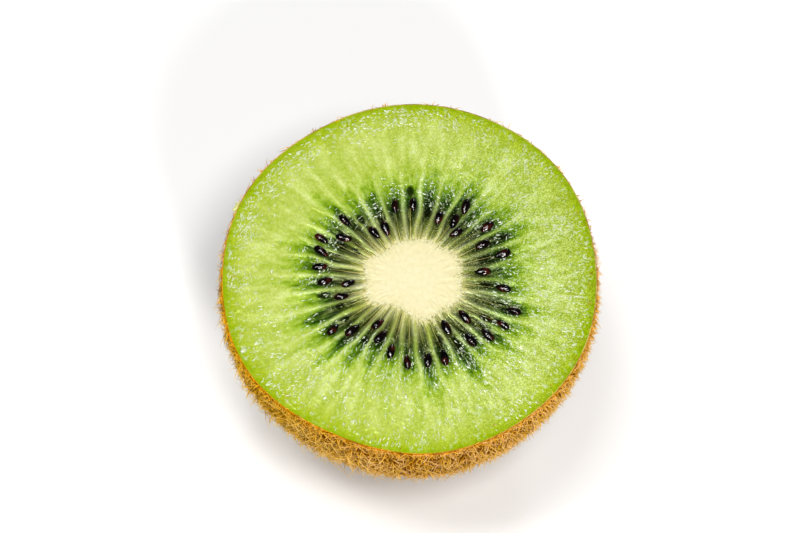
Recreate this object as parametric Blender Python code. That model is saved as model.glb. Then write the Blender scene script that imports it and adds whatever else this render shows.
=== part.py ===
"""Half a kiwifruit, cut across the middle and standing on its rounded end with the cut face up and level.

Metres, +Z up. The origin lies under the middle of the fruit, on the surface that it stands on.
The angles run round the fruit from +X towards +Y.
"""
import math
import random

import bmesh
import bpy
from mathutils import Matrix, Vector

MM = 0.001

# The fruit: half an egg, cut at its widest
HALF_WIDTH = 26.0 * MM
POLE_DEPTH = 33.6 * MM  # from the cut to where the rounded end would close
FULLNESS = 2.0  # 2 is an ellipse, and more is blunter
FOOT_RADIUS = 8.0 * MM  # the flat spot that it rests on
OUTLINE_WAVES = (
    (1, 0.0213, -86), (2, 0.0034, -10), (3, 0.0092, 166), (4, 0.0028, -130), (5, 0.0028, 41), (6, 0.0055, 158),
)

# The pale core, a spindle that runs down the axis
CORE_RADIUS = 6.20 * MM
CORE_DEPTH = 26.0 * MM
CORE_FULLNESS = 2.2
CORE_WAVES = (
    (1, 0.112, -31), (2, 0.111, 14), (3, 0.052, 171), (4, 0.025, -71), (5, 0.024, 12), (6, 0.041, 148),
    (8, 0.031, 165),
)
GAP = 0.3 * MM  # between the core and the flesh round it

# The cut face: pale rays with a seed chamber between each two
CHAMBERS = 34
FIRST_RAY = 10.0  # degrees
RAY_WAVES = ((1, 1.61, -22), (2, 1.92, 126), (3, 0.74, -17), (4, 1.61, -73))
RAY_RELIEF = 0.12 * MM  # a ray stands this far up, and a chamber half as far down
RAY_REACH = 0.62  # the share of the way from core to skin over which the rays fade
RIM_WIDTH = 0.9 * MM
RIM_DROP = 0.35 * MM

# The seeds, lying in the chambers. Each row is one chamber, with its seeds' distances from the axis in mm.
SEED_PLACES = (
    (13.4,), (11.3,), (13.3,), (9.5,), (10.7, 13.4), (10.1,), (), (11.3,), (11.2,), (8.5,), (8.7,), (12.7,),
    (11.2,), (13.8,), (13.1,), (12.7,), (8.6, 11.8), (9.8,), (), (12.9,), (10.9,), (7.9,), (9.3,), (10.8,),
    (12.1,), (12.0,), (12.3,), (8.5,), (12.1,), (9.2, 13.3), (14.3,), (15.0,), (12.9,), (10.1,),
)
SEED_LENGTH = 2.3 * MM
SEED_WIDTH = 1.35 * MM
SEED_THICKNESS = 1.0 * MM
SEED_TAPER = 0.30  # how much slimmer the pointed end is
SEED_RISE = 0.05 * MM  # of its middle over the face
SEED_SWERVE = 1.6  # degrees off the middle of its chamber, at most
SEED_TILT = 22.0  # degrees out of line with the ray, at most
RANDOM_START = 11

# Facets
STEPS = CHAMBERS * 3
SKIN_ROWS = 12
FACE_SHARES = (0.0, 0.1, 0.22, 0.36, 0.52, 0.7, 0.87)
CORE_ROWS = 6
CORE_FACE_SHARES = (0.45, 0.8)
SEED_SIDES = 6
SEED_RINGS = 4


def waves(angle, rows):
    """The sum of a few cosine waves, each given as times round, size and turn in degrees."""
    return sum(size * math.cos(times * angle + math.radians(turn)) for times, size, turn in rows)


def ray_angle(share):
    """The true angle of a share of the way round, counted in even chambers from the first ray."""
    even = share * math.tau
    return even + math.radians(FIRST_RAY + waves(even, RAY_WAVES))


def superellipse(share, fullness):
    """How wide a blunt egg still is, at a share of the way down to its end."""
    return max(0.0, 1 - share**fullness) ** (1 / fullness)


def outline_radius(angle, share_down=0.0):
    """The skin's radius, whose unevenness fades towards the rounded end."""
    uneven = waves(angle, OUTLINE_WAVES) * (1 - share_down)
    return HALF_WIDTH * superellipse(share_down, FULLNESS) * (1 + uneven)


def core_radius(angle, share_down=0.0):
    """The radius of the core, whose corners fade towards its lower end."""
    uneven = waves(angle, CORE_WAVES) * (1 - share_down)
    return CORE_RADIUS * superellipse(share_down, CORE_FULLNESS) * (1 + uneven)


FOOT_SHARE = superellipse(FOOT_RADIUS / HALF_WIDTH, FULLNESS)
CUT_HEIGHT = POLE_DEPTH * FOOT_SHARE


def face_height(share_round, share_out):
    """The height of the cut face, from the edge of the core (0) to the skin (1)."""
    fade = math.sin(math.pi * min(share_out / RAY_REACH, 1.0))
    return CUT_HEIGHT + RAY_RELIEF * fade * math.cos(share_round * CHAMBERS * math.tau)


def face_radius(angle, share_out):
    """The radius on the cut face, from the edge of the core's hole (0) to the inner edge of the rim (1)."""
    inner = core_radius(angle) + GAP
    outer = outline_radius(angle) - RIM_WIDTH
    return inner + (outer - inner) * share_out


def ring(radius_at, height_at):
    """One closed ring of points; both sizes are functions of the share round and the angle."""
    points = []
    for step in range(STEPS):
        share = step / STEPS
        angle = ray_angle(share)
        radius = radius_at(share, angle)
        points.append(Vector((radius * math.cos(angle), radius * math.sin(angle), height_at(share, angle))))
    return points


def hole_rings():
    """The hole that the core sits in, from its floor up to just under the cut face."""
    rings = []
    for row in range(CORE_ROWS - 1, 0, -1):
        down = math.sin(math.pi / 2 * row / CORE_ROWS)
        rings.append(ring(lambda share, angle: core_radius(angle, down) + GAP,
                          lambda share, angle: CUT_HEIGHT - CORE_DEPTH * down))
    return rings


def face_rings():
    """The cut face from the hole to the rim, with the rays in low relief."""
    return [
        ring(lambda share, angle: face_radius(angle, out), lambda share, angle: face_height(share, out))
        for out in FACE_SHARES + (1.0,)
    ]


def skin_rings():
    """The outside, from the rounded rim down to the edge of the foot."""
    rings = []
    last = math.asin(FOOT_SHARE)
    for row in range(SKIN_ROWS + 1):
        down = math.sin(last * row / SKIN_ROWS)
        height = CUT_HEIGHT - POLE_DEPTH * down - (RIM_DROP if row == 0 else 0.0)
        rings.append(ring(lambda share, angle: outline_radius(angle, down), lambda share, angle: max(height, 0.0)))
    return rings


def core_rings():
    """The core, from just above its lower end up its side, and in across its top."""
    rings = []
    for row in range(CORE_ROWS - 1, -1, -1):
        down = math.sin(math.pi / 2 * row / CORE_ROWS)
        rings.append(ring(lambda share, angle: core_radius(angle, down),
                          lambda share, angle: CUT_HEIGHT - CORE_DEPTH * down))
    for inward in reversed(CORE_FACE_SHARES):
        rings.append(ring(lambda share, angle: core_radius(angle) * inward, lambda share, angle: CUT_HEIGHT))
    return rings


def lofted(name, rings, first_height, last_height, collection):
    """A closed body through unlike rings, each end closed by a fan to a point on the axis."""
    build = bmesh.new()
    rows = [[build.verts.new(point) for point in points] for points in rings]
    for lower, upper in zip(rows, rows[1:]):
        for step in range(STEPS):
            after = (step + 1) % STEPS
            build.faces.new((lower[step], upper[step], upper[after], lower[after]))
    for row, height, order in ((rows[0], first_height, 1), (rows[-1], last_height, -1)):
        middle = build.verts.new((0, 0, height))
        for step in range(STEPS):
            corners = (middle, row[step], row[(step + 1) % STEPS])
            build.faces.new(corners[::order])
    bmesh.ops.recalc_face_normals(build, faces=build.faces)
    mesh = bpy.data.meshes.new(name)
    build.to_mesh(mesh)
    build.free()
    mesh.shade_smooth()
    mesh.set_sharp_from_angle(angle=math.radians(40))
    body = bpy.data.objects.new(name, mesh)
    collection.objects.link(body)
    return body


def plain_material(name, colour, roughness):
    material = bpy.data.materials.new(name)
    material.use_nodes = True
    shader = material.node_tree.nodes["Principled BSDF"]
    shader.inputs["Base Color"].default_value = (*colour, 1.0)
    shader.inputs["Roughness"].default_value = roughness
    shader.inputs["Metallic"].default_value = 0.0
    return material


def add_seed(chamber, distance, draw, material, collection):
    """A teardrop lying half sunk in its chamber, its pointed end towards the core."""
    share = (chamber + 0.5) / CHAMBERS
    angle = ray_angle(share) + math.radians(draw.uniform(-SEED_SWERVE, SEED_SWERVE))
    tilt = math.radians(draw.uniform(-SEED_TILT, SEED_TILT))
    size = draw.uniform(0.88, 1.06)
    share_out = (distance - core_radius(angle) - GAP) / (outline_radius(angle) - core_radius(angle))
    build = bmesh.new()
    bmesh.ops.create_uvsphere(build, u_segments=SEED_SIDES, v_segments=SEED_RINGS, radius=0.5,
                              matrix=Matrix.Rotation(math.pi / 2, 4, "Y"))
    for corner in build.verts:
        slim = 1 - SEED_TAPER * (0.5 - corner.co.x)
        corner.co = Vector((corner.co.x * SEED_LENGTH, corner.co.y * SEED_WIDTH * slim,
                            corner.co.z * SEED_THICKNESS * slim)) * size
    place = Vector((distance * math.cos(angle), distance * math.sin(angle),
                    face_height(share, share_out) + SEED_RISE))
    build.transform(Matrix.Translation(place) @ Matrix.Rotation(angle + tilt, 4, "Z"))
    mesh = bpy.data.meshes.new("seed")
    build.to_mesh(mesh)
    build.free()
    mesh.materials.append(material)
    collection.objects.link(bpy.data.objects.new("seed", mesh))


def fuse_seeds(flesh, material, fruit):
    """Joins every seed to the flesh by one Boolean, and removes the loose ones."""
    seeds = bpy.data.collections.new("seeds")
    bpy.context.scene.collection.children.link(seeds)
    draw = random.Random(RANDOM_START)
    for chamber, distances in enumerate(SEED_PLACES):
        for distance in distances:
            add_seed(chamber, distance * MM, draw, material, seeds)
    join = flesh.modifiers.new("seeds", "BOOLEAN")
    join.operation = "UNION"
    join.operand_type = "COLLECTION"
    join.collection = seeds
    join.solver = "EXACT"
    join.material_mode = "TRANSFER"
    joined = bpy.data.meshes.new_from_object(flesh.evaluated_get(bpy.context.evaluated_depsgraph_get()))
    flesh.modifiers.remove(join)
    flesh.data = joined
    for seed in list(seeds.objects):
        bpy.data.objects.remove(seed)
    bpy.data.collections.remove(seeds)


def paint_skin(flesh, skin):
    """Gives the outside its own material: every face under the rim that looks away from the axis or down."""
    flesh.data.materials.append(skin)
    slot = len(flesh.data.materials) - 1
    for face in flesh.data.polygons:
        outward = Vector((face.center.x, face.center.y, 0)).dot(face.normal)
        if face.center.z < CUT_HEIGHT - RIM_DROP / 2 and (outward > 0 or face.center.z < GAP):
            face.material_index = slot


def centre_on_axis(bodies):
    """Moves the meshes so that the middle of the outline's box is over the origin."""
    points = [corner.co for body in bodies for corner in body.data.vertices]
    middle = [(min(p[axis] for p in points) + max(p[axis] for p in points)) / 2 for axis in (0, 1)]
    for body in bodies:
        body.data.transform(Matrix.Translation((-middle[0], -middle[1], 0)))


def main():
    for old in list(bpy.data.objects):
        bpy.data.objects.remove(old)
    fruit = bpy.data.collections.new("kiwifruit_half")
    bpy.context.scene.collection.children.link(fruit)
    green = plain_material("green_flesh", (0.48, 0.62, 0.10), 0.35)
    brown = plain_material("fuzzy_skin", (0.36, 0.20, 0.06), 0.85)
    cream = plain_material("cream_core", (0.93, 0.87, 0.55), 0.40)
    black = plain_material("dark_seed", (0.015, 0.010, 0.010), 0.25)

    flesh = lofted("flesh", hole_rings() + face_rings() + skin_rings(), CUT_HEIGHT - CORE_DEPTH - GAP, 0.0, fruit)
    flesh.data.materials.append(green)
    paint_skin(flesh, brown)
    fuse_seeds(flesh, black, fruit)

    core = lofted("core", core_rings(), CUT_HEIGHT - CORE_DEPTH, CUT_HEIGHT, fruit)
    core.data.materials.append(cream)
    centre_on_axis((flesh, core))


main()
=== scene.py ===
"""The looks of a half kiwifruit: the wet cut face with its pale core, rays and seeds, and the hairy skin.

Metres, +Z up, in the frame of the solids. Angles run round the fruit from +X towards +Y.
"""

import math
import random

import bmesh
import bpy
import numpy as np
from mathutils import Matrix, Vector


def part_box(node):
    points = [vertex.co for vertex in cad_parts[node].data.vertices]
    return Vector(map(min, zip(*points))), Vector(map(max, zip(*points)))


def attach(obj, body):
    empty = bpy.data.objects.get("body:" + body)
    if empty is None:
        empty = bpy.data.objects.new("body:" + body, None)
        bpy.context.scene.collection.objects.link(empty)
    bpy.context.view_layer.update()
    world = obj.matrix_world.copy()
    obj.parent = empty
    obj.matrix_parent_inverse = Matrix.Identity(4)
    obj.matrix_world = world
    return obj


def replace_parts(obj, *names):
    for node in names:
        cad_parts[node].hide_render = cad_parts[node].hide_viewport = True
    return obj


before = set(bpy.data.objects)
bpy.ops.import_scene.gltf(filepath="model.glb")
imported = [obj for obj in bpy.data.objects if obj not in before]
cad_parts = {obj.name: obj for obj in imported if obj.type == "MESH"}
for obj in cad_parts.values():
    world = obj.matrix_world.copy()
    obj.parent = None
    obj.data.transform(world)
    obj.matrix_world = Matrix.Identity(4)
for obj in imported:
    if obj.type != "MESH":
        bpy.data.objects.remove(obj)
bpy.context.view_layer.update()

MM = 0.001

# The fruit, as its solids have it
HALF_WIDTH = 26.0 * MM
POLE_DEPTH = 33.6 * MM
FULLNESS = 2.0
FOOT_RADIUS = 8.0 * MM
OUTLINE_WAVES = (
    (1, 0.0213, -86), (2, 0.0034, -10), (3, 0.0092, 166), (4, 0.0028, -130), (5, 0.0028, 41),
    (6, 0.0055, 158),
)
CORE_RADIUS = 6.20 * MM
CORE_DEPTH = 26.0 * MM
CORE_FULLNESS = 2.2
CORE_WAVES = (
    (1, 0.112, -31), (2, 0.111, 14), (3, 0.052, 171), (4, 0.025, -71), (5, 0.024, 12), (6, 0.041, 148),
    (8, 0.031, 165),
)
CHAMBERS = 34
FIRST_RAY = 10.0
RAY_WAVES = ((1, 1.61, -22), (2, 1.92, 126), (3, 0.74, -17), (4, 1.61, -73))
CUT_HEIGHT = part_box("core")[1].z

# The seeds that lie open on the cut, one row for each chamber, in mm from the axis
SEED_PLACES = (
    (13.4,), (11.3,), (13.3,), (9.5,), (10.7, 13.4), (10.1,), (), (11.3,), (11.2,), (8.5,), (8.7,), (12.7,),
    (11.2,), (13.8,), (13.1,), (12.7,), (8.6, 11.8), (9.8,), (), (12.9,), (10.9,), (7.9,), (9.3,), (10.8,),
    (12.1,), (12.0,), (12.3,), (8.5,), (12.1,), (9.2, 13.3), (14.3,), (15.0,), (12.9,), (10.1,),
)
SEED_LENGTH = 2.3 * MM
SEED_WIDTH = 1.35 * MM
SEED_THICKNESS = 1.0 * MM
SEED_TAPER = 0.30
SEED_RISE = 0.05 * MM
SEED_SINK = 0.10 * MM  # of a seed's middle under the cut, before its rise
SEED_SWERVE = 1.6  # degrees off the chamber's middle, at most
SEED_TILT = 22.0
LOOSE_THREADS = 46  # stalks that hold no seed
RANDOM_START = 11

# Seeds that show only as dark shapes under the surface, by chamber
SUNK_PLACES = {
    0: (10.5,), 1: (14.6,), 6: (10.4,), 7: (13.3,), 9: (10.1,), 10: (11.4,), 13: (8.7, 10.7), 14: (10.4,),
    17: (12.2,), 18: (10.4,), 19: (10.8,), 21: (10.8,), 26: (9.8,), 27: (11.4,), 30: (11.8,), 32: (10.4,),
}
SUNK_DEPTH = 0.40 * MM
SUNK_SWERVE = 2.5
SUNK_TILT = 25.0
SEAM = 0.004 * MM  # between core and flesh

# Skin and hair
SKIN_THICK = 0.13 * MM
SKIN_DROP = 0.03 * MM  # of its cut edge under the face
HAIR_LIFT = 0.02 * MM  # no hair comes closer to the table
CURLED_SIDE = 228.0  # where the hair is most tangled; it lies straightest on the other side
DRY_SIDE = 128.0  # where the least juice stands on the flesh
GRAIN_GLINT_SHADE_SIDE = 5.0  # where the flesh's fine grain stands out most, with the most painted specks of highlight, and where the flesh is painted darker as shade
WARM_LIT_SIDE = 302.0  # where the hair is palest: tinted warmer, with pale tips painted as highlight
NUB_SIDE = 155.5  # where a shred of flesh hangs over the rim
HAIR_RISE = 0.7 * MM  # no hair stands higher above the cut
STRAY_HAIRS = 70
FRINGE_HAIRS = 1700
FRINGE_TRIES = 12000

# The coats: name, count, rings, shortest and longest, thickness, tangle, salt, colours from root to tip
HAIR_COATS = (
    ("under_hair", 4500, 2, (0.4 * MM, 0.8 * MM), 0.055 * MM, 1.0, 41,
     ((90, 52, 0), (142, 92, 0), (190, 138, 10))),
    ("gold_hair", 6500, 2, (0.7 * MM, 1.2 * MM), 0.078 * MM, 0.9, 43,
     ((122, 72, 0), (232, 170, 0), (255, 218, 104))),
    ("curly_hair", 6500, 4, (0.9 * MM, 1.7 * MM), 0.080 * MM, 1.3, 45,
     ((132, 80, 0), (246, 186, 10), (255, 226, 126))),
    ("long_hair", 5500, 3, (0.9 * MM, 1.7 * MM), 0.072 * MM, 0.7, 47,
     ((142, 88, 0), (253, 200, 34), (255, 232, 158))),
)

# Colours of the cut: the flesh and its rays from the core's edge (0) to the skin (1), the core to its edge
FLESH_STOPS = (
    (0.00, (140, 142, 80)), (0.06, (70, 80, 28)), (0.13, (18, 32, 0)), (0.22, (8, 27, 0)),
    (0.30, (26, 56, 0)), (0.37, (68, 102, 2)), (0.44, (116, 146, 20)), (0.52, (152, 173, 58)),
    (0.62, (170, 184, 84)), (0.74, (170, 184, 84)), (0.86, (165, 179, 70)), (0.95, (150, 168, 32)),
    (1.00, (130, 154, 4)),
)
RAY_STOPS = (
    (0.00, (194, 190, 124)), (0.15, (162, 168, 92)), (0.30, (150, 168, 86)), (0.45, (164, 182, 92)),
    (0.62, (178, 192, 98)), (0.85, (172, 186, 86)), (1.00, (140, 160, 30)),
)
CORE_STOPS = ((0.0, (214, 207, 168)), (0.6, (213, 205, 164)), (0.86, (210, 202, 157)), (1.0, (202, 195, 144)))
PATTERN_GIRTH = 12 * MM
GLINT_GIRTH = 14 * MM

# The larger drops of juice: degrees round, share of the way out, length and width in mm
JUICE_DROPS = (
    (204.3, 0.955, 1.10, 0.80), (203.7, 0.85, 0.85, 0.50), (236.0, 0.80, 0.70, 0.40),
    (118.0, 0.93, 0.80, 0.40), (152.0, 0.90, 0.70, 0.45), (176.0, 0.66, 0.80, 0.35),
    (318.0, 0.60, 0.75, 0.40),
)
JUICE_BEADS = 4400
BEAD_TRIES = 20000

# Mesh fineness
FLESH_STEPS = CHAMBERS * 20
FACE_ROWS = 124
SKIN_STEPS = 480
SKIN_ROWS = 110
SHARP_ANGLE = 58.0

# The camera and the table
VIEW_ELEVATION = 68.3
VIEW_DISTANCE = 0.6145
VIEW_AIM = (-1.43 * MM, 2.02 * MM)  # beside the axis, on the cut
LENS = 200.0
TABLE_SIZE = 3.0

# The lamps: name, degrees round, degrees up, size, power and colour
LAMPS = (
    ("right_lamp", 300, 72, 0.17, 2.5, (1.0, 0.99, 0.97)),
    ("left_lamp", 184, 70, 0.12, 1.25, (1.0, 0.99, 0.97)),
    ("front_lamp", 288, 38, 0.12, 2.85, (1.0, 0.98, 0.95)),
    ("top_lamp", 150, 82, 0.20, 1.65, (1.0, 1.0, 1.0)),
    ("window", 76, 24, 0.12, 0.8, (0.86, 0.94, 1.0)),
)
LAMP_DISTANCE = 0.70
WORLD_STRENGTH = 0.03


def waves(angle, rows):
    """The sum of a few cosine waves, each given as times round, size and turn in degrees."""
    return sum(size * np.cos(times * angle + math.radians(turn)) for times, size, turn in rows)


def ray_angle(share):
    """The true angle of a share of the way round, counted in even chambers from the first ray."""
    even = share * math.tau
    return even + np.radians(FIRST_RAY + waves(even, RAY_WAVES))


def superellipse(share, fullness):
    """How wide a blunt egg still is, at a share of the way down to its end."""
    return np.maximum(0.0, 1 - share**fullness) ** (1 / fullness)


def outline_radius(angle, down=0.0):
    """The skin's radius, whose unevenness fades towards the rounded end."""
    return HALF_WIDTH * superellipse(down, FULLNESS) * (1 + waves(angle, OUTLINE_WAVES) * (1 - down))


def core_radius(angle, down=0.0):
    """The radius of the core, whose corners fade towards its lower end."""
    return CORE_RADIUS * superellipse(down, CORE_FULLNESS) * (1 + waves(angle, CORE_WAVES) * (1 - down))


def axis_place():
    """Where the axis lies in the frame, whose origin is under the middle of the outline's box."""
    angle = ray_angle(np.arange(CHAMBERS * 3) / (CHAMBERS * 3))
    across = outline_radius(angle) * np.cos(angle)
    along = outline_radius(angle) * np.sin(angle)
    return -(across.min() + across.max()) / 2, -(along.min() + along.max()) / 2


AXIS = axis_place()
FOOT_SHARE = float(superellipse(FOOT_RADIUS / HALF_WIDTH, FULLNESS))


def smooth_step(low, high, value):
    """From 0 at low to 1 at high, without corners."""
    share = np.clip((value - low) / (high - low), 0, 1)
    return share * share * (3 - 2 * share)


def soft_noise(x, y, salt, around):
    """Soft random hills between 0 and 1, a unit wide, that repeat after `around` units of x."""
    lines = 64
    corners = np.random.default_rng(salt).random((around, lines))
    column = np.floor(x).astype(int)
    line = np.floor(y).astype(int)
    right = smooth_step(0, 1, x - column)
    up = smooth_step(0, 1, y - line)
    here, after = column % around, (column + 1) % around
    low, high = line % lines, (line + 1) % lines
    lower = corners[here, low] * (1 - right) + corners[after, low] * right
    upper = corners[here, high] * (1 - right) + corners[after, high] * right
    return lower * (1 - up) + upper * up


def laid_seeds(places, salt, swerve, tilt, sizes):
    """Seeds as (share round, angle, distance, turn, size), from pairs of a chamber and its distances."""
    draw = random.Random(salt)
    seeds = []
    for chamber, distances in places:
        for distance in distances:
            share = (chamber + 0.5) / CHAMBERS
            angle = float(ray_angle(share)) + math.radians(draw.uniform(-swerve, swerve))
            turn = math.radians(draw.uniform(-tilt, tilt))
            seeds.append((share, angle, distance * MM, turn, draw.uniform(*sizes)))
    return seeds


OPEN_SEEDS = laid_seeds(enumerate(SEED_PLACES), RANDOM_START, SEED_SWERVE, SEED_TILT, (0.88, 1.06))
SUNK_SEEDS = laid_seeds(SUNK_PLACES.items(), RANDOM_START + 1, SUNK_SWERVE, SUNK_TILT, (0.75, 1.0))


def round_axis(radius, angle, height):
    """Points at a radius and an angle round the axis, at a height."""
    return np.stack([radius * np.cos(angle) + AXIS[0], radius * np.sin(angle) + AXIS[1], height], -1)


def towards(share, degrees):
    """From 0 on the one side of the fruit to 1 on the side at `degrees`."""
    return 0.5 + 0.5 * np.cos(ray_angle(share) - math.radians(degrees))


def new_object(name, data):
    """An object of the scene that holds a mesh, a lamp or a camera."""
    made = bpy.data.objects.new(name, data)
    bpy.context.scene.collection.objects.link(made)
    return made


def paint(mesh, marks):
    """Writes marks on a mesh's points."""
    for mark, values in marks.items():
        mesh.attributes.new(mark, "FLOAT", "POINT").data.foreach_set("value", values.reshape(-1))


def triangles_of(build):
    """The points and triangles of a finished bmesh, which is freed."""
    bmesh.ops.triangulate(build, faces=build.faces)
    build.verts.ensure_lookup_table()
    points = np.array([corner.co for corner in build.verts])
    faces = np.array([[corner.index for corner in face.verts] for face in build.faces])
    build.free()
    return points, faces


def seed_spot(angle, radius, seeds, length, width):
    """A soft spot round each seed, 1 at its middle."""
    spot = np.zeros(np.broadcast(angle, radius).shape)
    for _, seed_angle, distance, _, size in seeds:
        off = (angle - seed_angle + math.pi) % math.tau - math.pi
        along = (radius - distance) / (length * size)
        across = off * radius / (width * size)
        spot = np.maximum(spot, np.exp(-(along**2 + across**2)))
    return spot


def wet_chance(share, out):
    """How much juice stands at a place: most among the seeds, and least in the far left of the flesh."""
    far_left = np.clip(np.cos(ray_angle(share) - math.radians(DRY_SIDE)), 0, 1)
    dry = far_left * smooth_step(0.35, 0.55, out) * (1 - smooth_step(0.72, 0.86, out))
    rim = np.exp(-(((out - 0.90) / 0.08) ** 2)) * far_left
    seeds = np.exp(-(((out - 0.27) / 0.17) ** 2))
    return np.clip(0.62 + 0.25 * rim + 0.24 * seeds - 0.48 * dry, 0, 1)


def juice(share, out, radius):
    """Spots of standing juice on the cut, from 0 to 1."""
    spots = soft_noise(share * 150, radius / (0.9 * MM), 9, 150)
    chance = wet_chance(share, out)
    return smooth_step(0.90 - 0.42 * chance, 1.12 - 0.42 * chance, spots)


def face_pattern(share, out):
    """Radii, heights and painted marks of the cut face, from the core's edge (0) to the skin (1)."""
    angle = ray_angle(share)
    inner = core_radius(angle)
    outer = outline_radius(angle) - SKIN_THICK
    radius = inner + (outer - inner) * out
    turns = share * CHAMBERS + 0.30 * (soft_noise(share * CHAMBERS, radius / (3.5 * MM), 1, CHAMBERS) - 0.5)
    ray = np.round(turns).astype(int) % CHAMBERS
    chamber = np.floor(turns).astype(int) % CHAMBERS
    chance = np.random.default_rng(5).random((4, CHAMBERS))
    off_ray = np.abs(turns - np.round(turns)) * math.tau * radius / CHAMBERS
    across = np.abs(turns - np.floor(turns) - 0.5) * 2

    width = 0.42 * MM - 0.012 * radius
    reach = 0.14 * (chance[0][ray] - 0.5)
    fade = 1 - smooth_step(0.48 + reach, 0.95 + reach, out)
    streak = soft_noise(share * CHAMBERS * 5, radius / (2.5 * MM), 2, CHAMBERS * 5)
    rays = np.exp(-((off_ray / width) ** 2)) * fade * (0.55 + 0.45 * chance[1][ray]) * (0.65 + 0.6 * streak)
    threads = smooth_step(0.62, 0.95, streak) * (1 - smooth_step(0.12, 0.45, out))
    rays = np.clip(np.maximum(rays, 0.50 * threads), 0, 1)

    lobe = 0.13 * (across**2 - 0.35) * smooth_step(0.02, 0.2, out) * (1 - smooth_step(0.6, 0.9, out))
    uneven = 0.16 * (chance[2][chamber] - 0.5) * (1 - across**2) * smooth_step(0.1, 0.35, out)
    uneven = uneven * (1 - smooth_step(0.6, 0.85, out))
    depth = out + lobe + uneven + 0.05 * (streak - 0.5) * (1 - smooth_step(0.5, 1.0, out))

    edge = soft_noise(share * CHAMBERS * 7, radius / (2.2 * MM), 3, CHAMBERS * 7)
    near = 1 - smooth_step(-0.075, 0.065, out - 0.05 * (edge - 0.4) - 0.03 * rays)

    granule = soft_noise(share * 250, radius / (0.46 * MM), 4, 250)
    fine = soft_noise(share * 400, radius / (0.30 * MM), 6, 400)
    fibre = soft_noise(share * CHAMBERS * 9, radius / (1.5 * MM), 8, CHAMBERS * 9)
    pocket = seed_spot(angle, radius, OPEN_SEEDS, 1.45 * MM, 0.95 * MM)
    sunk = seed_spot(angle, radius, SUNK_SEEDS, 1.0 * MM, 0.62 * MM)
    calm = smooth_step(0.0, 0.06, out)
    combed = 1 - smooth_step(0.3, 0.62, out)
    wet = juice(share, out, radius) + 0 * angle
    height = 0.03 * MM * rays - 0.05 * MM * (1 - across**2) * (1 - smooth_step(0.25, 0.7, out))
    height = height + (0.012 + 0.070 * wet) * MM * (granule - 0.5) + 0.050 * wet * MM * (fine - 0.5)
    height = height + 0.03 * combed * MM * (fibre - 0.5) - 0.12 * MM * pocket
    height = CUT_HEIGHT + calm * height * (1 - smooth_step(0.96, 1.0, out))
    damp = wet_chance(share, out) * (1 - smooth_step(0.965, 1.0, out))
    # Towards that side the fine grain stands out, and the colour gets painted specks of highlight and painted
    # shade
    crisp = 0.15 + 0.85 * smooth_step(-0.4, 1.0, np.cos(angle - math.radians(GRAIN_GLINT_SHADE_SIDE))) + 0 * out
    marks = {
        "depth": depth, "ray": rays, "near": near, "sunk": sunk,
        "wet": wet, "pocket": pocket, "damp": damp, "crisp": crisp,
    }
    return radius, height, marks


def rolled(name, rows_of_points, material):
    """A closed piece rolled up from a flat grid, from rows of radii, heights and marks."""
    radius, height, marks = rows_of_points
    rows, steps = radius.shape
    build = bmesh.new()
    bmesh.ops.create_grid(build, x_segments=steps, y_segments=rows - 1, size=0.5)
    mesh = bpy.data.meshes.new(name)
    build.to_mesh(mesh)
    flat = np.empty(len(mesh.vertices) * 3)
    mesh.vertices.foreach_get("co", flat)
    flat = flat.reshape(-1, 3)
    step = np.rint((flat[:, 0] + 0.5) * steps).astype(int) % steps
    row = np.rint((flat[:, 1] + 0.5) * (rows - 1)).astype(int)
    angle = ray_angle(step / steps)
    mesh.vertices.foreach_set("co", round_axis(radius[row, step], angle, height[row, step]).ravel())
    paint(mesh, {mark: values[row, step] for mark, values in marks.items()})
    build.clear()
    build.from_mesh(mesh)
    bmesh.ops.remove_doubles(build, verts=build.verts, dist=0.1e-6)
    bmesh.ops.recalc_face_normals(build, faces=build.faces)
    build.to_mesh(mesh)
    build.free()
    mesh.shade_smooth()
    mesh.set_sharp_from_angle(angle=math.radians(SHARP_ANGLE))
    mesh.materials.append(material)
    return new_object(name, mesh)


def stacked(parts):
    """Joins rows of (radii, heights, marks) into one set of rows; a missing mark is 0."""
    names = sorted({mark for part in parts for mark in part[2]})
    radius = np.concatenate([part[0] for part in parts])
    height = np.concatenate([part[1] for part in parts])
    marks = {
        mark: np.concatenate([part[2].get(mark, np.zeros_like(part[0])) for part in parts]) for mark in names
    }
    return radius, height, marks


def side_rows(share, down, inset, flat):
    """Rows down the outside of the fruit, a little inside the skin's surface, ending at a height `flat`."""
    angle = ray_angle(share)
    radius = np.maximum(outline_radius(angle, down) - inset, 0.0)
    height = np.maximum(CUT_HEIGHT - POLE_DEPTH * down, flat) + 0 * angle
    return radius, height


def pole_row(share, height):
    """A row that closes a body on its axis."""
    return np.zeros((1, share.size)), np.full((1, share.size), height), {}


def make_flesh(material):
    """The green flesh: a closed body with the hole for the core, whose top is the finely worked cut face."""
    share = np.arange(FLESH_STEPS)[None, :] / FLESH_STEPS
    angle = ray_angle(share)
    hole = np.sin(np.linspace(math.pi / 2, 0, 6))[1:-1, None]
    wall_height = CUT_HEIGHT - CORE_DEPTH * hole + 0 * angle
    walls = core_radius(angle, hole), wall_height, {"near": np.ones_like(wall_height)}
    face = face_pattern(share, np.linspace(0, 1, FACE_ROWS)[:, None])
    down = np.sin(np.linspace(0.03, math.asin(FOOT_SHARE), 10))[:, None]
    inset = SKIN_THICK + 0.02 * MM
    side = side_rows(share, down, inset, inset)
    side = (*side, {"depth": np.ones_like(side[0])})
    rows = stacked([pole_row(share, CUT_HEIGHT - CORE_DEPTH), walls, face, side, pole_row(share, inset)])
    flesh = rolled("wet_flesh", rows, material)
    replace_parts(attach(flesh, "root"), "flesh")


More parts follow.
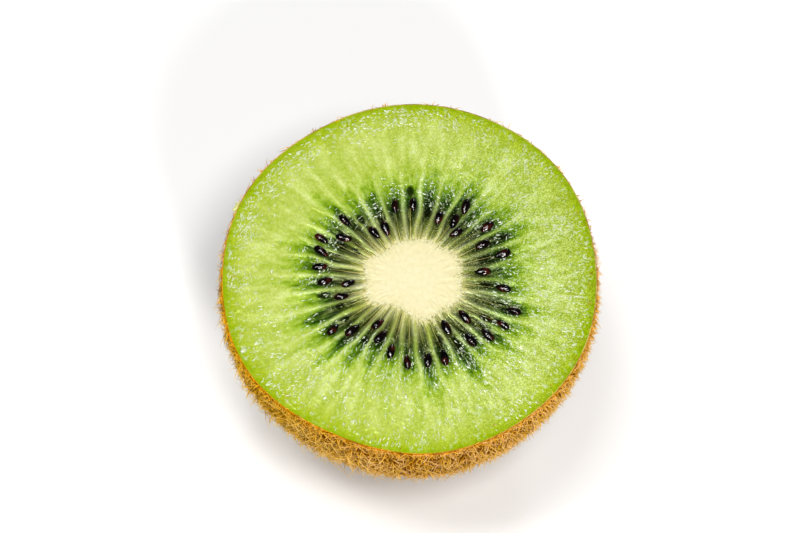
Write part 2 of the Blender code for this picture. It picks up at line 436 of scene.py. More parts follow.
def make_core(material):
    """The cream core: a spindle whose top is level with the cut face and frays out into the rays."""
    share = np.arange(FLESH_STEPS)[None, :] / FLESH_STEPS
    angle = ray_angle(share)
    down = np.sin(np.linspace(math.pi / 2, 0, 8))[1:-1, None]
    wall_height = CUT_HEIGHT - CORE_DEPTH * down + 0 * angle
    walls = core_radius(angle, down) - SEAM, wall_height, {"inward": np.ones_like(wall_height)}
    inward = np.linspace(1, 0.02, 34)[:, None]
    radius = (core_radius(angle) - SEAM) * inward
    fibre = soft_noise(share * CHAMBERS * 3, radius / (2.2 * MM), 7, CHAMBERS * 3)
    grain = soft_noise(share * 90, radius / (0.5 * MM), 8, 90)
    settle = smooth_step(0.5, 0.8, inward) * (1 - inward**8)
    height = CUT_HEIGHT + (0.05 * MM * (fibre - 0.5) + 0.04 * MM * (grain - 0.5)) * settle
    top = radius, height, {"inward": inward + 0.10 * (fibre - 0.5) * settle}
    rows = stacked([pole_row(share, CUT_HEIGHT - CORE_DEPTH), walls, top, pole_row(share, CUT_HEIGHT)])
    core = rolled("cream_core", rows, material)
    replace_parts(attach(core, "root"), "core")


def skin_bumps(share, down):
    """The skin's lumps and pores, outward in metres."""
    lumps = soft_noise(share * 40, down * 14, 21, 40) - 0.5
    folds = soft_noise(share * 110, down * 40, 22, 110) - 0.5
    pores = soft_noise(share * 240, down * 90, 23, 240) - 0.5
    return (0.16 * lumps + 0.10 * folds + 0.06 * pores) * MM


def make_skin(material):
    """The thin brown skin, a shell from its cut edge down to the flat spot under the fruit."""
    share = np.arange(SKIN_STEPS)[None, :] / SKIN_STEPS
    last = math.asin(FOOT_SHARE)
    down = np.sin(np.linspace(0, last, SKIN_ROWS))[:, None]
    settle = smooth_step(0.0, 0.03, down) * (1 - smooth_step(FOOT_SHARE - 0.04, FOOT_SHARE - 0.01, down))
    radius, height = side_rows(share, down, 0.0, 0.0)
    radius = radius + skin_bumps(share, down) * settle
    edge = soft_noise(share * 170, 0 * down, 24, 170) * np.exp(-down / 0.01)
    height = height - (SKIN_DROP - 0.10 * MM * edge) * np.exp(-down / 0.02)
    warm = towards(share, CURLED_SIDE)
    outside = radius, np.maximum(height, 0.0), {"down": down + 0 * share, "warm": warm + 0 * down}
    inner_down = np.sin(np.linspace(last, 0, 24))[:, None]
    inner_radius, inner_height = side_rows(share, inner_down, SKIN_THICK, SKIN_THICK)
    inner_height = inner_height - (SKIN_DROP - 0.05 * MM) * np.exp(-inner_down / 0.02)
    inner_marks = {"down": inner_down + 0 * share, "warm": warm + 0 * inner_down}
    inside = inner_radius, np.maximum(inner_height, SKIN_THICK), inner_marks
    rows = stacked([pole_row(share, SKIN_THICK), inside, outside, pole_row(share, 0.0)])
    skin = rolled("brown_skin", rows, material)
    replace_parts(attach(skin, "root"), "flesh")


def template_hair(rings):
    """One tapering hair of unit length along Z, with three sides: its points and its faces."""
    build = bmesh.new()
    bmesh.ops.create_cone(build, cap_ends=True, segments=3, radius1=1.0, radius2=0.0, depth=1.0,
                          matrix=Matrix.Translation((0, 0, 0.5)))
    for ring in range(1, rings):
        whole = build.verts[:] + build.edges[:] + build.faces[:]
        bmesh.ops.bisect_plane(build, geom=whole, plane_co=(0, 0, ring / rings), plane_no=(0, 0, 1))
    points, faces = triangles_of(build)
    points[:, :2] /= np.sqrt(np.maximum(1 - points[:, 2:3], 1e-3))
    return points, faces


def joined_copies(name, points, faces, marks, material):
    """One mesh of many copies: points has every copy's corners, and faces is one copy's triangles."""
    copies, corners, _ = points.shape
    mesh = bpy.data.meshes.new(name)
    every = (faces[None, :, :] + (np.arange(copies) * corners)[:, None, None]).reshape(-1, 3)
    mesh.vertices.add(copies * corners)
    mesh.vertices.foreach_set("co", points.reshape(-1))
    mesh.loops.add(every.size)
    mesh.loops.foreach_set("vertex_index", every.ravel())
    mesh.polygons.add(len(every))
    mesh.polygons.foreach_set("loop_start", np.arange(len(every)) * 3)
    mesh.update(calc_edges=True)
    mesh.validate()
    mesh.shade_smooth()
    paint(mesh, marks)
    mesh.materials.append(material)
    piece = new_object(name, mesh)
    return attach(piece, "root")


def skin_point(share, down):
    """A point on the skin and the way out from it, for arrays of places."""
    def place(share, down):
        angle = ray_angle(share)
        return round_axis(outline_radius(angle, down), angle, CUT_HEIGHT - POLE_DEPTH * down)
    here = place(share, down)
    step = 1e-4
    round_way = place(share + step, down) - here
    down_way = place(share, np.minimum(down + step, 1.0)) - here
    outward = np.cross(down_way, round_way)
    return here, unit(outward), unit(down_way)


def unit(vectors):
    return vectors / np.maximum(np.linalg.norm(vectors, axis=-1, keepdims=True), 1e-12)


def hair_roots(count, rng):
    """Places spread evenly over the skin's area, down to the edge of the foot."""
    down = np.sin(rng.uniform(0.004, math.asin(FOOT_SHARE), count * 3))
    share = rng.uniform(0, 1, len(down))
    far = smooth_step(-0.5, 0.1, np.sin(ray_angle(share)))
    at_rim = 1 - far * 0.65 * (1 - smooth_step(0.0, 0.10, down))
    keep = rng.uniform(0, 1, len(down)) < (0.02 + 0.98 * superellipse(down, FULLNESS)) * at_rim
    return share[keep][:count], down[keep][:count]


def strands(name, root, start, bend, long, thick, rings, rng, material):
    """Joined tapering strands: each leaves its root one way and bends off another; arrays by strand."""
    count = len(root)
    points, faces = template_hair(rings)
    along = points[None, :, 2:3]
    across = unit(np.cross(start, bend + 0.1))
    other = np.cross(start, across)
    shape = root[:, None, :] + long[:, None] * (start[:, None] * along + bend[:, None] * along**2)
    ring = across[:, None] * points[None, :, 0:1] + other[:, None] * points[None, :, 1:2]
    shape = shape + thick[:, None] * ring
    shape[..., 2] = np.clip(shape[..., 2], HAIR_LIFT, CUT_HEIGHT + HAIR_RISE)
    tint = np.repeat(rng.uniform(0, 1, (count, 1)), points.shape[0], axis=1)
    # Weight towards the lit side, where the hair is tinted warmer and pale tips are painted as highlight
    side = np.arctan2(root[:, 1:2], root[:, 0:1]) - math.radians(WARM_LIT_SIDE)
    warm_lit_side = np.repeat(smooth_step(0.1, 1.0, np.cos(side)), points.shape[0], axis=1)
    marks = {"tint": tint, "along": np.repeat(points[None, :, 2], count, axis=0), "warm_lit_side": warm_lit_side}
    return joined_copies(name, shape, faces, marks, material)


def make_hairs(name, count, rings, length, thickness, tangle, salt, material):
    """A coat of hairs that stand out and lean down the fruit; tangle is how far they sway and curl."""
    rng = np.random.default_rng(salt)
    share, down = hair_roots(count, rng)
    count = len(share)
    root, outward, downward = skin_point(share, down)
    sideways = np.cross(outward, downward)
    curled = towards(share, CURLED_SIDE)[:, None]
    curl = tangle * (0.15 + 0.85 * curled**2)
    clump = soft_noise(share * 150, down * 52, salt + 1, 150)[:, None] - 0.5
    clump_side = soft_noise(share * 150, down * 52, salt + 2, 150)[:, None] - 0.5
    far = 0.5 + 0.5 * np.sin(ray_angle(share))[:, None]
    lean = 0.45 + 0.8 * far + curl * rng.normal(0, 0.6, (count, 1)) + 0.9 * clump
    sway = curl * rng.normal(0, 0.9, (count, 1)) + 1.0 * clump_side
    start = unit(outward * rng.uniform(0.5, 1.1, (count, 1)) + downward * lean + sideways * sway)
    bend = downward * (0.25 + curl * rng.normal(0, 0.5, (count, 1)))
    bend = bend - outward * curl * rng.uniform(0, 0.7, (count, 1))
    bend = bend + sideways * (curl * rng.normal(0, 0.7, (count, 1)) + 0.6 * clump_side)
    long = rng.uniform(*length, (count, 1)) * (0.72 + 0.75 * curled**3 + 0.5 * (clump + 0.5))
    thick = thickness * rng.uniform(0.75, 1.25, (count, 1)) * (1 - 0.35 * smooth_step(0.4, 0.7, far))
    return strands(name, root, start, bend, long, thick, rings, rng, material)


def face_point(share, out):
    """Points on the cut face, for arrays of places."""
    radius, height, _ = face_pattern(share, out)
    return round_axis(radius, ray_angle(share), height)


def make_stray_hairs(material):
    """A few hairs that the knife left lying on the cut, close to the skin."""
    rng = np.random.default_rng(61)
    count = STRAY_HAIRS
    share = rng.uniform(0, 1, count)
    root = face_point(share, 1 - 0.09 * rng.uniform(0, 1, count) ** 1.6)
    root[:, 2] += 0.05 * MM
    way = rng.uniform(0, math.tau, count)
    start = np.stack([np.cos(way), np.sin(way), rng.uniform(0.0, 0.25, count)], -1)
    bend = np.stack([rng.normal(0, 0.5, count), rng.normal(0, 0.5, count), np.zeros(count)], -1)
    long = rng.uniform(0.3, 0.9, (count, 1)) * MM
    thick = rng.uniform(0.03, 0.05, (count, 1)) * MM
    return strands("stray_hair", root, start, bend, long, thick, 3, rng, material)


def make_seed_threads(material):
    """The thin stalks that hold the seeds, drawn from the core's edge, with some loose ones between them."""
    rng = np.random.default_rng(71)
    seeds = OPEN_SEEDS + SUNK_SEEDS
    ends = [(share, distance - 0.42 * SEED_LENGTH) for share, _, distance, _, _ in seeds]
    ends = ends + [(rng.uniform(0, 1), rng.uniform(8.0, 9.6) * MM) for _ in range(LOOSE_THREADS)]
    share = np.array([end[0] for end in ends])
    reach = np.array([end[1] for end in ends])
    angle = ray_angle(share)
    out = (reach - core_radius(angle)) / (outline_radius(angle) - SKIN_THICK - core_radius(angle))
    keep = out > 0.02
    share, out, angle = share[keep], out[keep], angle[keep]
    count = len(share)
    first = face_point(share + rng.normal(0, 0.0022, count), 0 * out)
    last = face_point(share, out)
    first[:, 2] += 0.02 * MM
    last[:, 2] += 0.06 * MM
    whole = last - first
    long = np.linalg.norm(whole, axis=1, keepdims=True)
    side = np.stack([-np.sin(angle), np.cos(angle), np.full(count, 0.1)], -1)
    bend = side * rng.normal(0, 0.10, (count, 1))
    thick = rng.uniform(0.022, 0.045, (count, 1)) * MM
    start = whole / long - bend
    return strands("seed_threads", first, start, bend, long, thick, 6, rng, material)


def share_at(degrees):
    """The share of the way round that belongs to a true angle."""
    shares = np.linspace(-0.5, 1.5, 2001)
    return np.interp(math.radians(degrees), ray_angle(shares), shares)


def template_bead():
    """A flat-bottomed drop of unit length, width and height: its points and its triangles."""
    build = bmesh.new()
    bmesh.ops.create_uvsphere(build, u_segments=7, v_segments=4, radius=0.5)
    points, faces = triangles_of(build)
    dome = 1 - 4 * (points[:, 0] ** 2 + points[:, 1] ** 2)
    points[:, 2] = np.where(points[:, 2] > -0.01, dome, -0.6 - 0.2 * dome)
    return points, faces


def make_juice_beads(material):
    """Low beads of juice on the cut, long and slightly crooked, carrying the marks of the flesh under them;
    their material paints them paler as painted highlight.
    """
    rng = np.random.default_rng(81)
    share = rng.uniform(0, 1, BEAD_TRIES)
    out = np.sqrt(rng.uniform(0.05, 0.97**2, BEAD_TRIES))
    crowd = smooth_step(0.25, 0.75, soft_noise(share * 46, out * 8, 82, 46))
    keep = rng.uniform(0, 1, BEAD_TRIES) < wet_chance(share, out) ** 2 * (0.15 + 0.85 * crowd)
    share, out = share[keep][:JUICE_BEADS], out[keep][:JUICE_BEADS]
    length = 0.22 + 0.62 * rng.uniform(0, 1, len(share)) ** 1.5
    width = rng.uniform(0.10, 0.19, len(share))
    for degrees, place, long, wide in JUICE_DROPS:
        share, out = np.append(share, share_at(degrees)), np.append(out, place)
        length, width = np.append(length, long), np.append(width, wide)
    count = len(share)
    points, faces = template_bead()
    width = width[:, None] * MM
    rise = width * rng.uniform(0.08, 0.16, (count, 1))
    crook = rng.normal(0, 0.4, (count, 1)) * np.minimum(width, 0.2 * MM)
    aside = math.pi / 2 * smooth_step(0.2, 0.9, np.cos(ray_angle(share) - math.radians(DRY_SIDE)))
    turn = (ray_angle(share) + aside + rng.normal(0, 0.45, count))[:, None]
    along = points[None, :, 0] * length[:, None] * MM
    across = points[None, :, 1] * width + crook * (2 * points[None, :, 0]) ** 2
    place = face_point(share, out)
    shape = np.stack([place[:, 0:1] + along * np.cos(turn) - across * np.sin(turn),
                      place[:, 1:2] + along * np.sin(turn) + across * np.cos(turn),
                      place[:, 2:3] + points[None, :, 2] * rise], -1)
    marks = {name: np.repeat(values[:, None], len(points), axis=1)
             for name, values in face_pattern(share, out)[2].items()}
    # How strongly each bead is painted pale, as painted highlight
    marks["tint"] = np.repeat(rng.uniform(0, 1, (count, 1)), len(points), axis=1)
    return joined_copies("juice_beads", shape, faces, marks, material)


def make_rim_fringe(material):
    """Short hairs at the cut edge of the skin, thickest on the near side, that cover its line."""
    rng = np.random.default_rng(91)
    share = rng.uniform(0, 1, FRINGE_TRIES)
    near = 0.5 - 0.5 * np.sin(ray_angle(share))
    keep = rng.uniform(0, 1, len(share)) < 0.12 + 0.88 * smooth_step(0.3, 0.7, near)
    share = share[keep][:FRINGE_HAIRS]
    count = len(share)
    root, outward, downward = skin_point(share, rng.uniform(0.0, 0.012, count))
    sideways = np.cross(outward, downward)
    start = unit(outward * rng.uniform(-0.2, 0.9, (count, 1)) + sideways * rng.normal(0, 0.8, (count, 1))
                 + downward * rng.normal(0.0, 0.45, (count, 1)))
    bend = sideways * rng.normal(0, 0.6, (count, 1)) + downward * rng.normal(0.5, 0.3, (count, 1))
    long = rng.uniform(0.4, 1.3, (count, 1)) * MM
    thick = rng.uniform(0.05, 0.075, (count, 1)) * MM
    return strands("rim_fringe", root, start, bend, long, thick, 3, rng, material)


def make_rim_nub(material):
    """A shred of flesh that hangs over the skin at one side."""
    build = bmesh.new()
    bmesh.ops.create_icosphere(build, subdivisions=4, radius=0.5)
    points, faces = triangles_of(build)
    angle = math.radians(NUB_SIDE)
    lumps = 1 + 0.30 * np.sin(7 * points[:, 0] + 1) * np.cos(9 * points[:, 1])
    lumps = lumps + 0.12 * np.sin(23 * points[:, 1])
    points = points * lumps[:, None] * np.array((0.95, 1.75, 0.50)) * MM
    turned = points @ np.array(Matrix.Rotation(angle, 3, "Z")).T
    distance = float(outline_radius(angle)) + 0.12 * MM
    middle = round_axis(distance, angle, CUT_HEIGHT - 0.22 * MM)
    marks = {"depth": np.full((1, len(points)), 0.9), "near": np.full((1, len(points)), 0.5)}
    return joined_copies("rim_nub", (turned + middle)[None], faces, marks, material)


def template_seed():
    """One seed along X, pointed at its inner end, of true size: its points and its triangles."""
    build = bmesh.new()
    bmesh.ops.create_uvsphere(build, u_segments=20, v_segments=14, radius=0.5,
                              matrix=Matrix.Rotation(math.pi / 2, 4, "Y"))
    points, faces = triangles_of(build)
    slim = 1 - SEED_TAPER * (0.5 - points[:, 0])
    points = np.stack([points[:, 0] * SEED_LENGTH, points[:, 1] * SEED_WIDTH * slim,
                       points[:, 2] * SEED_THICKNESS * slim], -1)
    return points, faces


def make_seeds(name, seeds, depth, material):
    """The seeds, each lying in its chamber with the pointed end towards the core."""
    points, faces = template_seed()
    rng = np.random.default_rng(33)
    shapes = []
    for _, angle, distance, tilt, size in seeds:
        turn = Matrix.Rotation(angle + tilt, 3, "Z")
        place = round_axis(distance, angle, CUT_HEIGHT - SEED_SINK + SEED_RISE - depth)
        phase = rng.uniform(0, math.tau, 3)
        dents = np.sin(points @ (4300, 2900, 1900) + phase[0])
        lumps = 1 + 0.05 * dents * np.cos(points @ (0, 5200, 3600) + phase[1])
        shapes.append(points * lumps[:, None] * size @ np.array(turn).T + place)
    return joined_copies(name, np.array(shapes), faces, {}, material)


def fill(tree, made, inputs):
    """Fills a node's inputs with values or other nodes' outputs."""
    for key, value in inputs.items():
        if isinstance(value, bpy.types.NodeSocket):
            tree.links.new(value, made.inputs[key])
        else:
            made.inputs[key].default_value = value


def node(tree, kind, inputs=None, **settings):
    """Adds a node, sets it and fills its inputs."""
    made = tree.nodes.new(kind)
    for key, value in settings.items():
        setattr(made, key, value)
    fill(tree, made, inputs or {})
    return made


def linear(colour):
    """A colour written as 0 to 255 screen values, as the linear values that shaders take."""
    shares = [value / 255 for value in colour]
    curved = [share / 12.92 if share <= 0.04045 else ((share + 0.055) / 1.055) ** 2.4 for share in shares]
    return curved + [1.0]


def ramp(tree, factor, stops):
    """A colour ramp through (place, colour) stops."""
    made = node(tree, "ShaderNodeValToRGB", {"Fac": factor})
    elements = made.color_ramp.elements
    while len(elements) < len(stops):
        elements.new(0.5)
    for element, (place, colour) in zip(elements, stops):
        element.position = place
        element.color = linear(colour)
    return made.outputs["Color"]


def greys(tree, factor, stops):
    """A ramp through (place, grey) stops."""
    return ramp(tree, factor, [(place, (grey, grey, grey)) for place, grey in stops])


def between(tree, factor, low, high):
    """Black up to `low` and white from `high` on."""
    return greys(tree, factor, ((low, 0), (high, 255)))


def mix(tree, factor, first, second, blend="MIX"):
    made = node(tree, "ShaderNodeMix", data_type="RGBA", blend_type=blend)
    fill(tree, made, {0: factor, 6: first, 7: second})
    return made.outputs[2]


def mark(tree, name):
    return node(tree, "ShaderNodeAttribute", attribute_name=name).outputs["Fac"]


def maths(tree, operation, first, second=0.0):
    return node(tree, "ShaderNodeMath", {0: first, 1: second}, operation=operation).outputs[0]


def times(tree, first, second):
    return maths(tree, "MULTIPLY", first, second)


def plus(tree, first, second):
    return maths(tree, "ADD", first, second)


def off_middle(tree, value, amount):
    """How far a value lies above or below one half, times an amount."""
    return times(tree, maths(tree, "SUBTRACT", value, 0.5), amount)


def object_place(tree):
    return node(tree, "ShaderNodeTexCoord").outputs["Object"]


def noise(tree, place, scale, detail):
    made = node(tree, "ShaderNodeTexNoise", {"Vector": place, "Scale": scale, "Detail": detail})
    return made.outputs["Fac"]


def pits(tree, place, scale):
    """Small round dents."""
    return node(tree, "ShaderNodeTexVoronoi", {"Vector": place, "Scale": scale}).outputs["Distance"]


def bumps(tree, height, strength, distance):
    """The directions in which a surface with relief faces."""
    made = node(tree, "ShaderNodeBump", {"Height": height, "Strength": strength, "Distance": distance})
    return made.outputs["Normal"]


def vector_maths(tree, operation, *places):
    return node(tree, "ShaderNodeVectorMath", dict(enumerate(places)), operation=operation).outputs


def new_material(name):
    material = bpy.data.materials.new(name)
    material.use_nodes = True
    tree = material.node_tree
    return material, tree, tree.nodes["Principled BSDF"]


def radial_place(tree, girth, stretch):
    """Coordinates on a drum round the axis, so that a pattern is drawn out along the rays."""
    level = vector_maths(tree, "MULTIPLY", object_place(tree), (1, 1, 0))[0]
    level = vector_maths(tree, "SUBTRACT", level, (AXIS[0], AXIS[1], 0))[0]
    radius = vector_maths(tree, "LENGTH", level)["Value"]
    drum = vector_maths(tree, "NORMALIZE", level)[0]
    drum = node(tree, "ShaderNodeVectorMath", {0: drum, "Scale": girth}, operation="SCALE").outputs[0]
    rise = node(tree, "ShaderNodeCombineXYZ", {"Z": maths(tree, "DIVIDE", radius, stretch)}).outputs[0]
    return vector_maths(tree, "ADD", drum, rise)[0]


def fibre_pattern(tree):
    """Fine threads drawn out from the axis."""
    return noise(tree, radial_place(tree, PATTERN_GIRTH, 7.0), 2700, 2.0)


def pale_share(tree, near):
    """Where the core's cream shows: solid inside, ragged with grains where `near` falls off."""
    grains = noise(tree, radial_place(tree, PATTERN_GIRTH, 1.4), 3100, 3.0)
    return between(tree, plus(tree, near, off_middle(tree, grains, 1.6)), 0.38, 0.70)


def glint_pattern(tree):
    """Small crooked dashes in loose clusters, drawn out along the rays: painted glints where wet cells catch
    the light.
    """
    lines = between(tree, noise(tree, radial_place(tree, GLINT_GIRTH, 2.4), 2600, 1.0), 0.55, 0.63)
    place = object_place(tree)
    breaks = noise(tree, place, 2100, 1.0)
    groups = noise(tree, place, 360, 2.0)
    breaks = plus(tree, breaks, off_middle(tree, groups, 0.5))
    return times(tree, lines, between(tree, breaks, 0.46, 0.56))


def flesh_colour(tree):
    """The colour of the cut by its marks, mottled with fine cells and threads, with painted glints and specks
    of highlight and a painted shade on one side; also gives the threads.
    """
    depth, ray, near, sunk = (mark(tree, name) for name in ("depth", "ray", "near", "sunk"))
    damp, pocket, crisp = (mark(tree, name) for name in ("damp", "pocket", "crisp"))
    place = object_place(tree)
    streaks = noise(tree, radial_place(tree, PATTERN_GIRTH, 2.2), 1900, 3.0)
    beams = noise(tree, radial_place(tree, PATTERN_GIRTH, 8.0), 1300, 2.0)
    clouds = noise(tree, place, 330, 2.0)
    cells = noise(tree, place, 2600, 2.0)
    grit = noise(tree, place, 5200, 1.0)
    fibres = fibre_pattern(tree)

    inner = greys(tree, depth, ((0.0, 120), (0.16, 220), (0.3, 200), (0.62, 0)))
    feather = off_middle(tree, fibres, times(tree, inner, 0.35))
    feather = plus(tree, feather, off_middle(tree, streaks, 0.20))
    ragged = plus(tree, depth, feather)
    threads = times(tree, between(tree, fibres, 0.50, 0.66), inner)
    lines = maths(tree, "MAXIMUM", ray, times(tree, threads, 0.35))
    colour = mix(tree, lines, ramp(tree, ragged, FLESH_STOPS), ramp(tree, depth, RAY_STOPS))
    lighter = ramp(tree, streaks, ((0.35, (170, 176, 132)), (0.5, (188, 188, 188)), (0.66, (202, 201, 240))))
    colour = mix(tree, plus(tree, times(tree, crisp, 0.30), 0.40), colour, lighter, "OVERLAY")
    paler = ramp(tree, clouds, ((0.38, (178, 182, 150)), (0.5, (188, 188, 188)), (0.64, (198, 197, 226))))
    colour = mix(tree, 0.3, colour, paler, "OVERLAY")
    rayed = ramp(tree, beams, ((0.36, (168, 176, 128)), (0.5, (186, 186, 186)), (0.62, (208, 206, 246))))
    outer = greys(tree, depth, ((0.45, 255), (0.84, 220), (0.98, 0)))
    colour = mix(tree, times(tree, outer, 0.8), colour, rayed, "OVERLAY")
    mottle = ramp(tree, cells, ((0.34, (166, 172, 126)), (0.5, (187, 187, 187)), (0.66, (206, 204, 236))))
    colour = mix(tree, 0.45, colour, mottle, "OVERLAY")
    gritty = ramp(tree, grit, ((0.38, (156, 162, 130)), (0.52, (178, 179, 176)), (0.62, (204, 208, 240))))
    colour = mix(tree, times(tree, crisp, 0.75), colour, gritty, "OVERLAY")
    # Painted highlight: pale specks of glint mixed into the outer flesh, most on the grain side
    glint_specks = times(tree, between(tree, grit, 0.60, 0.68), crisp)
    glint_specks = times(tree, glint_specks, times(tree, outer, 0.38))
    colour = mix(tree, glint_specks, colour, linear((196, 208, 160)))
    # Painted shade: the flesh on that side is multiplied darker
    painted_shade = greys(tree, crisp, ((0.92, 0), (1.0, 150)))
    colour = mix(tree, painted_shade, colour, linear((226, 232, 206)), "MULTIPLY")
    # Painted glints: pale dashes mixed into the colour where juice stands, fewer towards the core
    dry = greys(tree, depth, ((0.30, 60), (0.55, 255)))
    glints = times(tree, glint_pattern(tree), times(tree, damp, dry))
    colour = mix(tree, times(tree, glints, 0.55), colour, linear((194, 207, 172)))
    colour = mix(tree, pale_share(tree, near), colour, linear((206, 199, 148)))
    # The flesh is painted nearly black-green round each open seed, in the dip where it lies
    around = times(tree, maths(tree, "POWER", pocket, 1.5), 0.92)
    colour = mix(tree, around, colour, linear((4, 14, 0)))
    shape = greys(tree, sunk, ((0.30, 0), (0.62, 240)))
    return mix(tree, shape, colour, linear((6, 11, 2))), threads


def wet_flesh():
    """Green flesh, smooth and wet, with fine relief where juice stands."""
    material, tree, shader = new_material("wet_flesh")
    colour, threads = flesh_colour(tree)
    place = object_place(tree)
    grains = noise(tree, place, 4200, 1.0)
    films = between(tree, noise(tree, place, 2000, 1.0), 0.53, 0.57)
    spots = plus(tree, times(tree, films, 0.6), times(tree, grains, 0.5))
    damp = maths(tree, "MAXIMUM", mark(tree, "wet"), 0.12)
    relief = plus(tree, times(tree, spots, damp), times(tree, threads, 0.12))
    fill(tree, shader, {
        "Base Color": colour,
        "Roughness": plus(tree, times(tree, grains, 0.08), 0.03),
        "Normal": bumps(tree, relief, 0.7, 0.06 * MM),
        "Specular IOR Level": 0.32,
        "Specular Tint": (0.85, 1.0, 0.4, 1.0),
        "Subsurface Weight": 0.06,
        "Subsurface Radius": (0.7, 1.0, 0.25),
        "Subsurface Scale": 0.3 * MM,
    })
    return material


def juice_film():
    """Juice in small beads: the flesh's colour seen through it, painted paler by a random amount per bead as
    painted highlight for the light that it throws back.
    """
    material, tree, shader = new_material("juice_film")
    # Painted highlight: each bead's colour is mixed towards pale by its tint
    strength = greys(tree, mark(tree, "tint"), ((0.0, 70), (0.5, 180), (1.0, 255)))
    colour = mix(tree, strength, flesh_colour(tree)[0], linear((206, 216, 190)))
    fill(tree, shader, {"Base Color": colour, "Roughness": 0.035, "Specular IOR Level": 0.9})
    return material


def pale_shred():
    """A torn shred of flesh: pale yellow-green, unevenly thick."""
    material, tree, shader = new_material("pale_shred")
    patches = noise(tree, object_place(tree), 2200, 2.0)
    fill(tree, shader, {
        "Base Color": ramp(tree, patches, ((0.35, (186, 192, 100)), (0.65, (212, 210, 150)))),
        "Roughness": 0.35,
        "Subsurface Weight": 0.3,
        "Subsurface Radius": (1.0, 1.0, 0.5),
        "Subsurface Scale": 0.5 * MM,
    })
    return material


def cream_core():
    """The core: cream, a little darker and greener to its edge, with faint fibres and painted glints near its
    edge.
    """
    material, tree, shader = new_material("cream_core")
    inward = mark(tree, "inward")
    place = object_place(tree)
    fibres = noise(tree, place, 1500, 3.0)
    grains = noise(tree, place, 2200, 3.0)
    shade = ramp(tree, fibres, ((0.34, (174, 174, 166)), (0.66, (200, 200, 200))))
    colour = mix(tree, 0.35, ramp(tree, inward, CORE_STOPS), shade, "OVERLAY")
    near = greys(tree, inward, ((0.82, 255), (1.0, 208)))
    colour = mix(tree, pale_share(tree, near), linear((134, 137, 76)), colour)
    # Painted glints: pale grains mixed into the colour near the core's edge
    edge = greys(tree, inward, ((0.70, 0), (1.0, 220)))
    colour = mix(tree, times(tree, glint_pattern(tree), edge), colour, linear((226, 222, 190)))
    relief = plus(tree, times(tree, fibres, 0.5), times(tree, grains, 0.5))
    fill(tree, shader, {
        "Base Color": colour,
        "Roughness": plus(tree, times(tree, grains, 0.3), 0.28),
        "Normal": bumps(tree, relief, 0.25, 0.15 * MM),
        "Subsurface Weight": 0.3,
        "Subsurface Radius": (1.0, 0.9, 0.5),
        "Subsurface Scale": 1.0 * MM,
    })
    return material


def brown_skin():
    """Brown skin under the hair: mottled, dry, with an orange-tan cut edge."""
    material, tree, shader = new_material("brown_skin")
    down, warm = mark(tree, "down"), mark(tree, "warm")
    place = object_place(tree)
    patches = noise(tree, place, 420, 4.0)
    pores = pits(tree, place, 1300)
    colour = ramp(tree, patches, ((0.3, (76, 40, 2)), (0.5, (112, 64, 4)), (0.7, (148, 90, 10))))
    colour = mix(tree, times(tree, pores, 0.5), colour, linear((160, 104, 26)))
    edge = greys(tree, down, ((0.0, 255), (0.005, 235), (0.014, 0)))
    rim = ramp(tree, warm, ((0.1, (186, 172, 108)), (0.55, (190, 156, 74)), (0.9, (196, 124, 16))))
    broken = times(tree, edge, greys(tree, patches, ((0.42, 170), (0.56, 255))))
    fill(tree, shader, {
        "Base Color": mix(tree, broken, colour, rim),
        "Roughness": plus(tree, times(tree, patches, 0.2), 0.62),
        "Normal": bumps(tree, pores, 0.5, 0.12 * MM),
        "Specular IOR Level": 0.0,
    })
    return material


def gold_hair(name, root, middle, tip):
    """Hair that is darker at its root, partly its own colour and partly painted shade in the depth of the
    coat, with some hairs paler than others and pale tips painted as highlight on the lit side.
    """
    material, tree, shader = new_material(name)
    along, tint, warm_lit_side = (mark(tree, painted) for painted in ("along", "tint", "warm_lit_side"))
    colour = ramp(tree, along, ((0.0, root), (0.35, middle), (1.0, tip)))
    # A random darker tone per hair, multiplied in most strongly at the root: partly the hair's own tone,
    # partly painted shade deep in the coat
    darker = ramp(tree, tint, ((0.0, (124, 96, 30)), (0.22, (180, 160, 120)), (0.45, (255, 255, 255))))
    root_shade = maths(tree, "SUBTRACT", 1.0, times(tree, along, 0.8))
    colour = mix(tree, root_shade, colour, darker, "MULTIPLY")
    # On the lit side the hair is tinted warmer, and pale hairs get pinkish tips painted as highlight
    colour = mix(tree, times(tree, warm_lit_side, 0.5), colour, linear((255, 238, 186)), "MULTIPLY")
    paler = times(tree, between(tree, tint, 0.35, 1.0), warm_lit_side)
    colour = mix(tree, times(tree, paler, along), colour, linear((255, 212, 172)))
    fill(tree, shader, {"Base Color": colour, "Roughness": 0.5, "Specular IOR Level": 0.0})
    return material


def pale_thread():
    """Seed stalks: yellowish at the core, paler and greener towards the seed, and wet."""
    material, tree, shader = new_material("pale_thread")
    along, tint = mark(tree, "along"), mark(tree, "tint")
    tone = ramp(tree, along, ((0.0, (226, 214, 140)), (0.5, (198, 190, 112)), (1.0, (172, 150, 70))))
    paler = ramp(tree, tint, ((0.0, (150, 160, 140)), (0.6, (188, 188, 188)), (1.0, (216, 206, 180))))
    fill(tree, shader, {"Base Color": mix(tree, 0.7, tone, paler, "OVERLAY"), "Roughness": 0.2})
    return material


def seed_coat():
    """Seed coat: nearly black with a dark red-brown cast, finely pitted and glossy with juice."""
    material, tree, shader = new_material("seed_coat")
    place = object_place(tree)
    patches = noise(tree, place, 900, 3.0)
    dents = pits(tree, place, 3800)
    fill(tree, shader, {
        "Base Color": ramp(tree, patches, ((0.38, (3, 2, 3)), (0.53, (12, 5, 5)), (0.68, (60, 17, 9)))),
        "Roughness": plus(tree, times(tree, dents, 0.05), 0.02),
        "Normal": bumps(tree, dents, 0.35, 0.06 * MM),
        "Specular IOR Level": 0.5,
    })
    return material


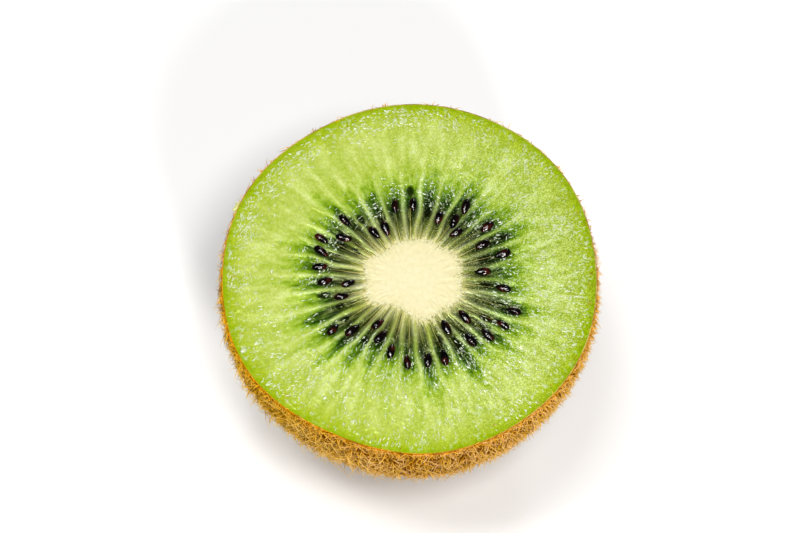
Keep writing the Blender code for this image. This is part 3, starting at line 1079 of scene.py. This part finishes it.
def make_table():
    """The plain white table that the fruit stands on."""
    build = bmesh.new()
    bmesh.ops.create_grid(build, x_segments=8, y_segments=8, size=TABLE_SIZE / 2)
    mesh = bpy.data.meshes.new("table_top")
    build.to_mesh(mesh)
    build.free()
    table = new_object("table_top", mesh)
    material, tree, shader = new_material("white_table")
    fill(tree, shader, {"Base Color": (0.90, 0.90, 0.90, 1.0), "Roughness": 0.6, "Specular IOR Level": 0.2})
    mesh.materials.append(material)


def make_light(name, azimuth, elevation, size, power, colour):
    """A soft square lamp that looks at the fruit."""
    lamp = bpy.data.lights.new(name, "AREA")
    lamp.size = size
    lamp.energy = power
    lamp.color = colour
    light = new_object(name, lamp)
    turn, rise = math.radians(azimuth), math.radians(elevation)
    way = Vector((math.cos(turn) * math.cos(rise), math.sin(turn) * math.cos(rise), math.sin(rise)))
    light.location = way * LAMP_DISTANCE + Vector((0, 0, CUT_HEIGHT))
    light.rotation_mode = "QUATERNION"
    light.rotation_quaternion = way.to_track_quat("Z", "Y")


def make_studio():
    """The lamps, and a faint even light from all round."""
    world = bpy.data.worlds.new("studio")
    world.use_nodes = True
    world.node_tree.nodes["Background"].inputs["Color"].default_value = (0.97, 0.985, 1.0, 1.0)
    world.node_tree.nodes["Background"].inputs["Strength"].default_value = WORLD_STRENGTH
    bpy.context.scene.world = world
    for lamp in LAMPS:
        make_light(*lamp)
    bpy.context.scene.view_settings.view_transform = "Standard"


def make_camera():
    """Looks down at the cut from the near side, as the photograph does."""
    camera = new_object("camera", bpy.data.cameras.new("camera"))
    camera.data.lens = LENS
    camera.data.clip_start = 0.01
    rise = math.radians(VIEW_ELEVATION)
    aim = Vector((AXIS[0] + VIEW_AIM[0], AXIS[1] + VIEW_AIM[1], CUT_HEIGHT))
    camera.location = aim + Vector((0, -math.cos(rise), math.sin(rise))) * VIEW_DISTANCE
    camera.rotation_euler = (math.pi / 2 - rise, 0, 0)
    bpy.context.scene.camera = camera


make_flesh(wet_flesh())
make_juice_beads(juice_film())
make_rim_nub(pale_shred())
make_core(cream_core())
make_skin(brown_skin())
make_seed_threads(pale_thread())
seed_look = seed_coat()
make_seeds("open_seeds", OPEN_SEEDS, 0.0, seed_look)
make_seeds("sunk_seeds", SUNK_SEEDS, SUNK_DEPTH, seed_look)
for coat, *build_of_coat, coat_colours in HAIR_COATS:
    make_hairs(coat, *build_of_coat, gold_hair(coat, *coat_colours))
make_rim_fringe(gold_hair("rim_fringe", (206, 140, 8), (246, 184, 24), (255, 220, 104)))
make_stray_hairs(gold_hair("stray_hair", (176, 110, 8), (222, 150, 36), (240, 190, 96)))
make_table()
make_studio()
make_camera()
